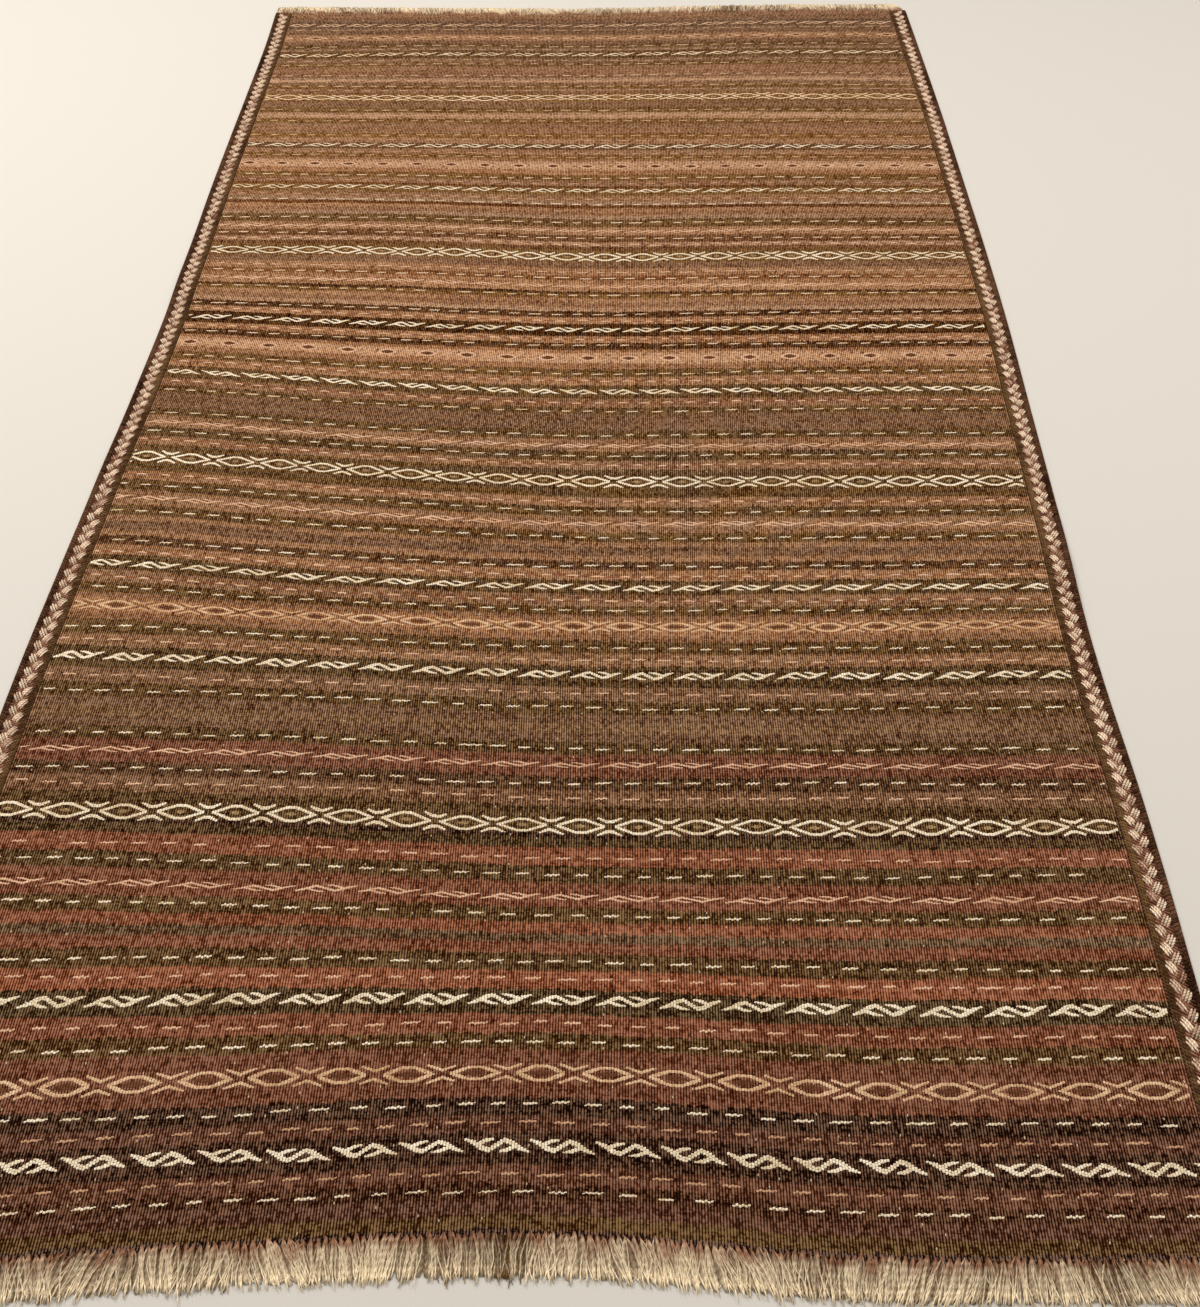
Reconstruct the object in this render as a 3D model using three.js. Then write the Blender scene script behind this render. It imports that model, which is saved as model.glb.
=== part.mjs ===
import * as THREE from 'three';

// A long flat-woven rug with bands of soumak ornament, an overcast binding down each side
// and a warp fringe at each end, lying on a level surface.
// Millimetres. X runs across the rug, Y along it from the near fringe to the far one, Z up.
// The origin is in the middle of the rug, on the surface that it lies on.
// "across" and "along" are places in the cloth as it was set up on the loom;
// layOnFloor turns them into places on the floor, where the weft lines wander.

// Overall sizes
const RUG_WIDTH = 1514;
const WOVEN_LENGTH = 2674;
const BINDING_WIDTH = 40;
const CLOTH_THICKNESS = 2.6;
const SIDE_GAP = 0.5;
const END_GAP = 0.4;
const NEAR_FRINGE_LENGTH = 41;
const FAR_FRINGE_LENGTH = 36;

const CLOTH_WIDTH = RUG_WIDTH - 2 * (BINDING_WIDTH + SIDE_GAP);
const FRINGE_WIDTH = 1500;
const NEAR_END = -WOVEN_LENGTH / 2;
const FAR_END = WOVEN_LENGTH / 2;

// Mesh steps
const CLOTH_COLUMNS = 22;
const LONGEST_STEP = 62;

// How far the outline and the weft lines stray at each section along the rug.
// left_side and right_side move the side edges across the rug. The others move a weft line along
// the rug at four places across it; in the middle of the rug it stays where it is.
const SECTIONS = [
  { along: -1337, left_side: 1, right_side: 2, left: -42, mid_left: -18, mid_right: -16, right: -11 },
  { along: -1200, left_side: 1, right_side: 2, left: -34, mid_left: -17, mid_right: -14, right: -9 },
  { along: -1040, left_side: 1, right_side: 3, left: -8, mid_left: -1, mid_right: -3, right: 3 },
  { along: -960, left_side: 1, right_side: 4, left: 10, mid_left: 7, mid_right: 1, right: 10 },
  { along: -800, left_side: 0, right_side: 3, left: 13, mid_left: 10, mid_right: 5, right: 11 },
  { along: -640, left_side: -1, right_side: -2, left: 22, mid_left: 13, mid_right: 3, right: 14 },
  { along: -480, left_side: 2, right_side: -2, left: 36, mid_left: 11, mid_right: 6, right: 16 },
  { along: -320, left_side: 6, right_side: 4, left: 46, mid_left: 18, mid_right: 5, right: 13 },
  { along: -80, left_side: 12, right_side: 9, left: 44, mid_left: 15, mid_right: 11, right: 20 },
  { along: 160, left_side: 15, right_side: 14, left: 26, mid_left: 11, mid_right: 12, right: 22 },
  { along: 400, left_side: 12, right_side: 14, left: 10, mid_left: 14, mid_right: 11, right: 17 },
  { along: 560, left_side: 9, right_side: 12, left: 9, mid_left: 8, mid_right: 12, right: 17 },
  { along: 800, left_side: 8, right_side: 9, left: -7, mid_left: -4, mid_right: 8, right: 12 },
  { along: 960, left_side: 8, right_side: 6, left: -12, mid_left: -8, mid_right: 14, right: 18 },
  { along: 1200, left_side: 7, right_side: -1, left: -17, mid_left: -2, mid_right: 20, right: 29 },
  { along: 1337, left_side: 2, right_side: -5, left: -6, mid_left: -3, mid_right: 23, right: 34 },
];
const DRIFT_STATION = 350;

// Soft ripples where the rug stands off the floor: the middle of each, how far it reaches each way
// along its crest, its half width, how far the crest leans from the rug's length, and its height
const RIPPLES = [
  { across: 492, along: -30, reach: 330, half_width: 66, lean_deg: -7, height: 6.5 },
  { across: -238, along: 120, reach: 250, half_width: 70, lean_deg: 4, height: 4.5 },
  { across: -40, along: -1110, reach: 150, half_width: 190, lean_deg: 80, height: 4 },
  { across: -560, along: -330, reach: 210, half_width: 85, lean_deg: 62, height: 5.5 },
  { across: 330, along: -760, reach: 190, half_width: 90, lean_deg: 66, height: 4 },
  { across: -500, along: 520, reach: 240, half_width: 80, lean_deg: -58, height: 5 },
  { across: 250, along: 640, reach: 200, half_width: 84, lean_deg: 18, height: 3.5 },
  { across: 560, along: 930, reach: 190, half_width: 84, lean_deg: 50, height: 5 },
  { across: -120, along: 1060, reach: 230, half_width: 90, lean_deg: -72, height: 4 },
  { across: -700, along: 250, reach: 120, half_width: 90, lean_deg: 84, height: 4 },
  { across: 700, along: -420, reach: 130, half_width: 95, lean_deg: 86, height: 4.5 },
];
const LEVEL_BELOW = 0.5;
const RIPPLE_FREE_END = 90;

// Bands of wrapped soumak work, which stand a little proud of the plain weave
const SOUMAK_BANDS = [
  { name: 'cream vine', along: -1250, width: 17 },
  { name: 'ochre diamonds', along: -1171, width: 26 },
  { name: 'cream vine', along: -1087, width: 17 },
  { name: 'cream diamonds', along: -858, width: 28 },
  { name: 'cream vine', along: -620, width: 17 },
  { name: 'ochre diamonds', along: -534, width: 24 },
  { name: 'cream vine', along: -460, width: 16 },
  { name: 'cream diamonds', along: -239, width: 29 },
  { name: 'cream vine', along: -23, width: 16 },
  { name: 'orange diamonds', along: 65, width: 25 },
  { name: 'cream vine', along: 144, width: 16 },
  { name: 'cream diamonds', along: 362, width: 29 },
  { name: 'cream vine', along: 585, width: 16 },
  { name: 'orange diamonds', along: 676, width: 24 },
  { name: 'cream vine', along: 751, width: 15 },
  { name: 'cream diamonds', along: 952, width: 27 },
  { name: 'cream vine', along: 1143, width: 15 },
  { name: 'cream vine', along: 1281, width: 15 },
];
const SOUMAK_RELIEF = 0.9;
const SOUMAK_FLANK = 3;

// Cross-section of a binding, from the cloth outwards: a flat overcast border, a braided row,
// then the overcast edge cord
const BINDING_SECTION = [
  { out: 0, up: 0 },
  { out: 0, up: 2.6 },
  { out: 9, up: 3 },
  { out: 19, up: 4.4 },
  { out: 28.5, up: 3 },
  { out: 34, up: 4.8 },
  { out: BINDING_WIDTH, up: 2.6 },
  { out: 38.4, up: 0 },
];

// Fringe: locks of warp yarn that share one narrow strip along each end
const LOCKS = 125;
const STRIP_DEPTH = 5;
const STRIP_HEIGHT = 2.4;
const LOCK_STATIONS = [
  { share: 0.5, width: 7.6, height: 2.3 },
  { share: 1, width: 3.2, height: 1.2 },
];
const LOCK_ROOT_WIDTH = 9;
const LOCK_SWEEP = 0.16;
const LOCK_SWEEP_TURN = 0.21;
const LOCK_SCATTER = 0.05;
const LOCK_LENGTH_SPREAD = 0.13;

// A smooth curve through rows of a table, read at a place along the rug
function readTable(rows, column, along) {
  const last = rows.length - 1;
  const place = Math.min(Math.max(along, rows[0].along), rows[last].along);
  let i = 0;
  while (i < last - 1 && rows[i + 1].along < place) i += 1;
  const slope = (k) => {
    const before = rows[Math.max(k - 1, 0)];
    const after = rows[Math.min(k + 1, last)];
    return (after[column] - before[column]) / (after.along - before.along);
  };
  return hermite(rows[i].along, rows[i][column], slope(i),
    rows[i + 1].along, rows[i + 1][column], slope(i + 1), place);
}

// The cubic from (a, va) with slope sa to (b, vb) with slope sb
function hermite(a, va, sa, b, vb, sb, at) {
  const span = b - a;
  const t = (at - a) / span;
  const rise = t * t * (3 - 2 * t);
  return va * (1 - rise) + vb * rise
    + span * (sa * t * (1 - t) * (1 - t) - sb * t * t * (1 - t));
}

// How far a weft line has strayed along the rug at one place in the cloth
function weftDrift(across, along) {
  const drifts = [
    readTable(SECTIONS, 'left', along),
    readTable(SECTIONS, 'mid_left', along),
    0,
    readTable(SECTIONS, 'mid_right', along),
    readTable(SECTIONS, 'right', along),
  ];
  const last = drifts.length - 1;
  const steps = across / DRIFT_STATION + last / 2;
  const i = Math.min(Math.max(Math.floor(steps), 0), last - 1);
  const slope = (k) => (drifts[Math.min(k + 1, last)] - drifts[Math.max(k - 1, 0)]) / 2;
  const inside = Math.min(Math.max(steps, 0), last);
  return hermite(i, drifts[i], slope(i), i + 1, drifts[i + 1], slope(i + 1), inside);
}

// How high the cloth stands off the floor at one place in it
function rippleHeight(across, along) {
  let height = 0;
  for (const ripple of RIPPLES) {
    const lean = THREE.MathUtils.degToRad(ripple.lean_deg);
    const x = across - ripple.across;
    const y = along - ripple.along;
    const onCrest = (y * Math.cos(lean) - x * Math.sin(lean)) / ripple.reach;
    const offCrest = (x * Math.cos(lean) + y * Math.sin(lean)) / ripple.half_width;
    height += ripple.height * Math.exp(-(onCrest ** 4) - offCrest ** 2);
  }
  const fromEnd = Math.min(along - NEAR_END, FAR_END - along);
  const endShare = THREE.MathUtils.smoothstep(fromEnd, 0, RIPPLE_FREE_END);
  return Math.max(0, height * endShare - LEVEL_BELOW);
}

// A point of the rug as it lies, from its place in the cloth and its height above the cloth's back
function layOnFloor(across, along, up) {
  const side = across / RUG_WIDTH + 0.5;
  const leftShift = readTable(SECTIONS, 'left_side', along);
  const rightShift = readTable(SECTIONS, 'right_side', along);
  return [
    across + leftShift * (1 - side) + rightShift * side,
    along + weftDrift(across, along),
    up + rippleHeight(across, along),
  ];
}

// How far the soumak bands stand above the plain weave
function soumakRelief(along) {
  let relief = 0;
  for (const band of SOUMAK_BANDS) {
    const outside = Math.abs(along - band.along) - band.width / 2;
    relief = Math.max(relief, SOUMAK_RELIEF * (1 - Math.max(outside, 0) / SOUMAK_FLANK));
  }
  return relief;
}

// A closed solid made by joining rows of points
class Solid {
  constructor() {
    this.points = [];
    this.faces = [];
  }

  row(points) {
    return points.map((point) => this.points.push(point) - 1);
  }

  distance(i, j) {
    const [a, b] = [this.points[i], this.points[j]];
    return Math.hypot(a[0] - b[0], a[1] - b[1], a[2] - b[2]);
  }

  // Joins two rows of points that run the same way. Seen from the side that the faces look to,
  // the second row lies to the left of the first. Each step takes the shorter diagonal.
  join(first, second) {
    let i = 0;
    let j = 0;
    while (i < first.length - 1 || j < second.length - 1) {
      const behind = first.length === second.length ? i - j : 0;
      const stepFirst = this.stepLength(first, i, second[j], behind > 0);
      const stepSecond = this.stepLength(second, j, first[i], behind < 0);
      if (stepFirst <= stepSecond) {
        this.faces.push(first[i], first[i + 1], second[j]);
        i += 1;
      } else {
        this.faces.push(first[i], second[j + 1], second[j]);
        j += 1;
      }
    }
  }

  // The diagonal of the next step along a row, or Infinity where the row can't step
  stepLength(row, at, opposite, mustWait) {
    return mustWait || at === row.length - 1 ? Infinity : this.distance(row[at + 1], opposite);
  }

  cap(loop, flat, flip) {
    const contour = flat.map(([x, y]) => new THREE.Vector2(x, y));
    for (const [a, b, c] of THREE.ShapeUtils.triangulateShape(contour, [])) {
      this.faces.push(...(flip ? [loop[c], loop[b], loop[a]] : [loop[a], loop[b], loop[c]]));
    }
  }

  mesh(name, colour, roughness) {
    const geometry = new THREE.BufferGeometry();
    geometry.setAttribute('position', new THREE.Float32BufferAttribute(this.points.flat(), 3));
    geometry.setIndex(this.faces);
    const material = new THREE.MeshStandardMaterial({ color: colour, roughness, metalness: 0 });
    const mesh = new THREE.Mesh(geometry, material);
    mesh.name = name;
    return mesh;
  }
}

// Places from start to end with no step longer than the longest, through every place in keep
function stepsThrough(start, end, keep, longest) {
  const stops = [start, ...keep, end];
  const places = [start];
  for (let i = 1; i < stops.length; i += 1) {
    const parts = Math.ceil((stops[i] - stops[i - 1]) / longest);
    for (let k = 1; k <= parts; k += 1) {
      places.push(stops[i - 1] + (stops[i] - stops[i - 1]) * k / parts);
    }
  }
  return places;
}

// The places across the cloth that its mesh goes through; the fringes' inner edges share them
function clothColumns() {
  return stepsThrough(-CLOTH_WIDTH / 2, CLOTH_WIDTH / 2, [], CLOTH_WIDTH / CLOTH_COLUMNS);
}

// The woven cloth: a thin slab whose top carries the soumak bands as low ridges
function makeCloth() {
  const solid = new Solid();
  const columns = clothColumns();
  const ridges = SOUMAK_BANDS.flatMap((band) => [
    band.along - band.width / 2 - SOUMAK_FLANK,
    band.along - band.width / 2,
    band.along + band.width / 2,
    band.along + band.width / 2 + SOUMAK_FLANK,
  ]);
  const topPlaces = stepsThrough(NEAR_END, FAR_END, ridges, LONGEST_STEP);
  const backPlaces = stepsThrough(NEAR_END, FAR_END, [], LONGEST_STEP);
  const layRow = (along, up) => solid.row(columns.map((across) => layOnFloor(across, along, up)));
  const top = topPlaces.map((along) => layRow(along, CLOTH_THICKNESS + soumakRelief(along)));
  const back = backPlaces.map((along) => layRow(along, 0));
  for (let i = 1; i < top.length; i += 1) solid.join(top[i - 1], top[i]);
  for (let i = 1; i < back.length; i += 1) solid.join(back[i], back[i - 1]);
  solid.join(back[0], top[0]);
  solid.join(top.at(-1), back.at(-1));
  solid.join(top.map((row) => row[0]), back.map((row) => row[0]));
  solid.join(back.map((row) => row.at(-1)), top.map((row) => row.at(-1)));
  return solid.mesh('rug_cloth', '#6b4632', 0.92);
}

// One overcast binding down a side of the rug: side is -1 for the left, 1 for the right
function makeBinding(name, side) {
  const solid = new Solid();
  const inner = side * (RUG_WIDTH / 2 - BINDING_WIDTH);
  const places = stepsThrough(NEAR_END, FAR_END, [], LONGEST_STEP);
  const loops = places.map((along) => solid.row(
    BINDING_SECTION.map(({ out, up }) => layOnFloor(inner + side * out, along, up)),
  ));
  for (let i = 1; i < loops.length; i += 1) {
    const near = [...loops[i - 1], loops[i - 1][0]];
    const far = [...loops[i], loops[i][0]];
    if (side > 0) solid.join(near, far);
    else solid.join(far, near);
  }
  const flat = BINDING_SECTION.map(({ out, up }) => [out, up]);
  solid.cap(loops[0], flat, side < 0);
  solid.cap(loops.at(-1), flat, side > 0);
  return solid.mesh(name, '#5e3b2c', 0.9);
}

// A repeatable scatter between -1 and 1 for a numbered lock
function scatter(number, salt) {
  const wave = Math.sin(number * 12.9898 + salt * 78.233) * 43758.5453;
  return 2 * (wave - Math.floor(wave)) - 1;
}

// A fringe: a narrow strip along an end of the cloth with locks that grow out of its outer face.
// end is -1 for the near fringe, 1 for the far one.
function makeFringe(name, end, length) {
  const solid = new Solid();
  const inner = WOVEN_LENGTH / 2 + END_GAP;
  const outer = inner + STRIP_DEPTH;
  const pitch = FRINGE_WIDTH / LOCKS;
  const place = (across, out, up) => layOnFloor(across, end * out, up);

  const innerSteps = stepsThrough(
    -FRINGE_WIDTH / 2, FRINGE_WIDTH / 2, clothColumns(), LONGEST_STEP * 2,
  );
  const innerLow = solid.row(innerSteps.map((across) => place(across, inner, 0)));
  const innerHigh = solid.row(innerSteps.map((across) => place(across, inner, STRIP_HEIGHT)));

  const outerSteps = [-FRINGE_WIDTH / 2];
  for (let k = 0; k < LOCKS; k += 1) {
    const centre = (k + 0.5) * pitch - FRINGE_WIDTH / 2;
    outerSteps.push(centre - LOCK_ROOT_WIDTH / 2, centre + LOCK_ROOT_WIDTH / 2);
  }
  outerSteps.push(FRINGE_WIDTH / 2);
  const outerLow = solid.row(outerSteps.map((across) => place(across, outer, 0)));
  const outerHigh = solid.row(outerSteps.map((across) => place(across, outer, STRIP_HEIGHT)));

  const joinFacing = (first, second) => {
    if (end > 0) solid.join(first, second);
    else solid.join(second, first);
  };
  joinFacing(innerHigh, outerHigh);
  joinFacing(outerLow, innerLow);
  joinFacing(innerLow, innerHigh);
  joinFacing([innerHigh[0], outerHigh[0]], [innerLow[0], outerLow[0]]);
  joinFacing([innerLow.at(-1), outerLow.at(-1)], [innerHigh.at(-1), outerHigh.at(-1)]);

  for (let i = 0; i < outerSteps.length - 1; i += 2) {
    joinFacing([outerHigh[i], outerHigh[i + 1]], [outerLow[i], outerLow[i + 1]]);
  }
  for (let k = 0; k < LOCKS; k += 1) {
    const a = 2 * k + 1;
    const centre = (k + 0.5) * pitch - FRINGE_WIDTH / 2;
    const reach = length * (1 + LOCK_LENGTH_SPREAD * scatter(k, end));
    const sweep = LOCK_SWEEP * Math.sin(LOCK_SWEEP_TURN * k + end) + LOCK_SCATTER * scatter(k, 3 + end);
    let ring = [outerLow[a], outerLow[a + 1], outerHigh[a + 1], outerHigh[a]];
    for (const { share, width, height } of LOCK_STATIONS) {
      const out = outer + reach * share;
      const middle = centre + sweep * reach * share * share;
      const next = solid.row([
        place(middle - width / 2, out, 0),
        place(middle + width / 2, out, 0),
        place(middle + width / 2, out, height),
        place(middle - width / 2, out, height),
      ]);
      joinFacing([...next, next[0]], [...ring, ring[0]]);
      ring = next;
    }
    joinFacing([ring[3], ring[2]], [ring[0], ring[1]]);
  }
  return solid.mesh(name, '#c2ab8a', 0.95);
}

const rug = new THREE.Group();
rug.add(
  makeCloth(),
  makeBinding('binding_left', -1),
  makeBinding('binding_right', 1),
  makeFringe('fringe_near', -1, NEAR_FRINGE_LENGTH),
  makeFringe('fringe_far', 1, FAR_FRINGE_LENGTH),
);

export default rug;
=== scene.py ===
"""A long flat-woven wool rug with soumak ornament, lying on a floor.

Metres in Blender, millimetres in the tables below. X runs across the rug, Y along it from the
near fringe to the far one, Z up. "across" and "along" are places in the cloth as it was set up
on the loom; lay_on_floor turns them into places on the floor, where the weft lines wander.
"""

import math
from functools import partial

import bmesh
import bpy
import numpy as np
from bpy.props import FloatProperty, FloatVectorProperty, IntProperty, PointerProperty
from mathutils import Matrix, Vector


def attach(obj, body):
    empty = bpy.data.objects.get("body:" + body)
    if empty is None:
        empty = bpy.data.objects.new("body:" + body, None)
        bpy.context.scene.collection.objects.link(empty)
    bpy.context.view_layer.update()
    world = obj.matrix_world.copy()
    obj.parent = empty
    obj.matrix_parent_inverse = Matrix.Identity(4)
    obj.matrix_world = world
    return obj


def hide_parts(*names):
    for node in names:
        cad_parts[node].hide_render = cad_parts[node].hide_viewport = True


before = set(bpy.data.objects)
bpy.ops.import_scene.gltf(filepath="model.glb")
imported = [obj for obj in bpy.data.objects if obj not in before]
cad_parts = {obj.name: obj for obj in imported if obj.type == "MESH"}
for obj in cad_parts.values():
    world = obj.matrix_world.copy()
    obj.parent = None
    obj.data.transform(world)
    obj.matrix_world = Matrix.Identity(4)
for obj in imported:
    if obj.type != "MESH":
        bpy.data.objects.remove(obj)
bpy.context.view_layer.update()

bl_info = {
    "name": "Soumak rug",
    "version": (1, 0, 0),
    "blender": (4, 5, 0),
    "location": "View3D > Sidebar > Rug",
    "description": "Weaves a striped flat-woven rug with soumak ornament, bindings and fringes",
    "category": "Add Mesh",
}

MM = 0.001

# Sizes in mm that the solids have too
RUG_WIDTH = 1514
WOVEN_LENGTH = 2674
BINDING_WIDTH = 40
SIDE_GAP = 0.5
CLOTH_WIDTH = RUG_WIDTH - 2 * (BINDING_WIDTH + SIDE_GAP)
FRINGE_WIDTH = 1500
NEAR_END = -WOVEN_LENGTH / 2
FAR_END = WOVEN_LENGTH / 2
DRIFT_STATION = 350
LEVEL_BELOW = 0.5
RIPPLE_FREE_END = 90

# How far the outline and the weft lines stray at each section along the rug
SECTION_COLUMNS = ("along", "left_side", "right_side", "left", "mid_left", "mid_right", "right")
SECTIONS = np.array((
    (-1337, 1, 2, -42, -18, -16, -11),
    (-1200, 1, 2, -34, -17, -14, -9),
    (-1040, 1, 3, -8, -1, -3, 3),
    (-960, 1, 4, 10, 7, 1, 10),
    (-800, 0, 3, 13, 10, 5, 11),
    (-640, -1, -2, 22, 13, 3, 14),
    (-480, 2, -2, 36, 11, 6, 16),
    (-320, 6, 4, 46, 18, 5, 13),
    (-80, 12, 9, 44, 15, 11, 20),
    (160, 15, 14, 26, 11, 12, 22),
    (400, 12, 14, 10, 14, 11, 17),
    (560, 9, 12, 9, 8, 12, 17),
    (800, 8, 9, -7, -4, 8, 12),
    (960, 8, 6, -12, -8, 14, 18),
    (1200, 7, -1, -17, -2, 20, 29),
    (1337, 2, -5, -6, -3, 23, 34),
), dtype=float)

# Soft ripples: the middle of each, its reach each way along the crest, its half width,
# how far the crest leans from the rug's length in degrees, and its height
RIPPLES = (
    (492, -30, 330, 66, -7, 6.5),
    (-238, 120, 250, 70, 4, 4.5),
    (-40, -1110, 150, 190, 80, 4),
    (-560, -330, 210, 85, 62, 5.5),
    (330, -760, 190, 90, 66, 4),
    (-500, 520, 240, 80, -58, 5),
    (250, 640, 200, 84, 18, 3.5),
    (560, 930, 190, 84, 50, 5),
    (-120, 1060, 230, 90, -72, 4),
    (-700, 250, 120, 90, 84, 4),
    (700, -420, 130, 95, 86, 4.5),
)

# The photo was taken from this far nearer than the rug's middle and this high over the floor
VIEW_FROM = 1612
VIEW_HEIGHT = 1345

# The wool dyes. A stripe's tone in the table below is how strong the light comes off it,
# in hundredths of the dye's own colour.
DYES = {
    "madder": "#9c5d40",
    "rose": "#995c3f",
    "peach": "#98704f",
    "sand": "#99785c",
    "tan": "#996d4b",
    "olive": "#9d754e",
    "walnut": "#976630",
    "bark": "#975d2f",
    "earth": "#994e24",
    "coffee": "#994f17",
    "soot": "#993a06",
}

# The weft stripes from the near end: where each starts, its dye and its tone. The tones are partly
# painted light:
# the stripes are drawn lighter toward the far end and darker toward the near end, as the light fell
# on them, and the narrow dark first stripe is partly painted shadow along the cloth's near end.
STRIPES = (
    (-1337, "rose", 40), (-1332, "walnut", 60), (-1318, "rose", 61), (-1302, "earth", 46),
    (-1287, "rose", 67), (-1269, "earth", 38), (-1235, "rose", 64), (-1217, "earth", 36),
    (-1197, "madder", 74),
    (-1143, "walnut", 59), (-1126, "madder", 82), (-1103, "walnut", 48), (-1074, "rose", 92),
    (-1050, "walnut", 57), (-1029, "madder", 81), (-1015, "olive", 66), (-1004, "rose", 88),
    (-989, "walnut", 59), (-971, "rose", 80), (-937, "walnut", 56), (-915, "rose", 86),
    (-889, "walnut", 52), (-875, "earth", 38), (-868, "walnut", 57), (-829, "tan", 80),
    (-806, "bark", 54), (-784, "rose", 76), (-751, "walnut", 58), (-731, "tan", 74),
    (-716, "olive", 79), (-700, "tan", 75), (-685, "walnut", 61), (-663, "peach", 84),
    (-639, "walnut", 56), (-603, "peach", 92), (-582, "walnut", 63), (-558, "tan", 89),
    (-546, "tan", 98), (-520, "tan", 88), (-511, "walnut", 65), (-494, "peach", 90),
    (-472, "walnut", 60), (-443, "peach", 98), (-424, "bark", 61), (-406, "peach", 96),
    (-394, "tan", 77), (-377, "peach", 94), (-366, "walnut", 67), (-346, "peach", 93),
    (-313, "walnut", 65), (-291, "peach", 96), (-271, "walnut", 65), (-209, "peach", 93),
    (-189, "walnut", 63), (-167, "peach", 93), (-139, "walnut", 64), (-119, "tan", 79),
    (-79, "walnut", 66), (-61, "tan", 89), (-39, "walnut", 65), (-5, "peach", 99),
    (17, "walnut", 71), (38, "tan", 96), (54, "sand", 113), (82, "tan", 98),
    (90, "coffee", 51), (109, "peach", 101), (127, "soot", 38), (163, "peach", 101),
    (181, "coffee", 51), (199, "sand", 103), (211, "tan", 90), (225, "peach", 99),
    (237, "walnut", 78), (250, "coffee", 49), (257, "peach", 101), (291, "bark", 80),
    (307, "peach", 99), (329, "tan", 81), (347, "walnut", 75), (387, "bark", 71),
    (399, "sand", 103), (413, "bark", 71), (435, "peach", 98), (463, "walnut", 70),
    (489, "sand", 97), (502, "tan", 91), (515, "peach", 100), (527, "coffee", 64),
    (537, "sand", 94), (549, "peach", 93), (571, "walnut", 78), (600, "coffee", 66),
    (605, "peach", 90), (625, "walnut", 78), (647, "tan", 99), (664, "sand", 109),
    (697, "tan", 92), (705, "walnut", 80), (721, "peach", 93), (741, "bark", 67),
    (765, "peach", 96), (787, "walnut", 84), (806, "peach", 90), (818, "tan", 92),
    (832, "peach", 89), (846, "walnut", 78), (867, "sand", 103), (891, "walnut", 75),
    (913, "tan", 84), (938, "walnut", 82), (975, "tan", 84), (983, "peach", 89),
    (993, "walnut", 78), (1008, "tan", 84), (1021, "sand", 101), (1040, "tan", 86),
    (1060, "tan", 90), (1072, "peach", 92), (1082, "tan", 88), (1094, "walnut", 74),
    (1110, "peach", 83), (1130, "walnut", 66), (1156, "walnut", 69), (1164, "peach", 82),
    (1178, "walnut", 67), (1196, "tan", 80), (1212, "peach", 98), (1241, "tan", 78),
    (1259, "peach", 80), (1272, "tan", 68), (1304, "tan", 81), (1322, "peach", 90),
)

# The ornament's bands from the near end. Each has the motif, yarn and height over the motif's own
# of its middle row, the rows that guard it on both sides, from outside in, and where they all lie.
CREAM_DASHES = ("dash", "cream", 1)
WHEAT_DASHES = ("dash", "wheat", 1)
FAWN_DASHES = ("dash", "fawn", 1)
PEACH_DASHES = ("dash", "peach", 1)
CLAY_DASHES = ("dash", "clay", 1)
PEACH_COUNTERS = ("counter", "peach", 1)
CLAY_COUNTERS = ("counter", "clay", 1)
BANDS = (
    ("vine_left", "cream", 1.1, (CREAM_DASHES, CLAY_DASHES), (-1294, -1276, -1249, -1224, -1204)),
    ("ochre_diamond", "ochre", 1, (), (-1170,)),
    ("vine", "cream", 1, (CREAM_DASHES, PEACH_DASHES), (-1136, -1114, -1086, -1060, -1040)),
    ("wave", "peach", 1, (CREAM_DASHES,), (-980, -956, -926)),
    ("diamond", "cream", 1, (PEACH_DASHES,), (-903, -857, -816)),
    ("wave", "peach", 1, (CREAM_DASHES,), (-794, -766, -740)),
    ("vine", "cream", 1, (CREAM_DASHES, PEACH_DASHES), (-674, -650, -618, -592, -570)),
    ("ochre_diamond", "ochre", 0.95, (), (-532,)),
    ("vine", "cream", 0.9, (CREAM_DASHES, PEACH_COUNTERS), (-501, -483, -458, -435, -415)),
    ("wave", "peach", 1.1, (CREAM_DASHES,), (-356, -328, -301)),
    ("diamond", "cream", 1.08, (PEACH_COUNTERS,), (-280, -236, -198)),
    ("wave", "peach", 1.1, (CREAM_DASHES,), (-177, -154, -129)),
    ("vine_left", "cream", 0.95, (WHEAT_DASHES, PEACH_COUNTERS), (-70, -48, -20, 8, 27)),
    ("orange_diamond", "ochre", 1, (), (68,)),
    ("vine", "cream", 0.95, (WHEAT_DASHES, PEACH_COUNTERS), (103, 119, 147, 172, 191)),
    ("wave", "peach", 1.1, (WHEAT_DASHES,), (247, 274, 299)),
    (*PEACH_DASHES, (), (318,)),
    ("diamond", "cream", 1.08, (), (366,)),
    (*PEACH_COUNTERS, (), (406,)),
    ("wave", "peach", 1.1, (WHEAT_DASHES,), (426, 450, 478)),
    ("thin_vine", "cream", 1, (WHEAT_DASHES, CLAY_COUNTERS), (542, 560, 589, 616, 635)),
    ("orange_diamond", "clay", 1, (), (680,)),
    ("thin_vine", "cream", 1, (FAWN_DASHES, CLAY_DASHES), (713, 729, 756, 780, 798)),
    ("wave", "clay", 1, (FAWN_DASHES,), (857, 880, 903)),
    ("thin_diamond", "wheat", 1, (), (957,)),
    (*CLAY_DASHES, (), (988,)),
    ("wave", "clay", 1, (FAWN_DASHES,), (1005, 1030, 1054)),
    ("thin_vine", "wheat", 1, (FAWN_DASHES, CLAY_DASHES), (1104, 1121, 1148, 1170, 1187)),
    ("dark_diamond", "dark", 1, (), (1228,)),
    (*CLAY_DASHES, (), (1265,)),
    ("thin_vine", "fawn", 1, (), (1287,)),
)


def ornament_rows():
    """Each ornament row from the near end: where it lies, its motif, its yarn and its height."""
    for *middle, guards, places in BANDS:
        for place, row in zip(places, (*guards, middle, *reversed(guards))):
            yield (place, *row)


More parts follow.
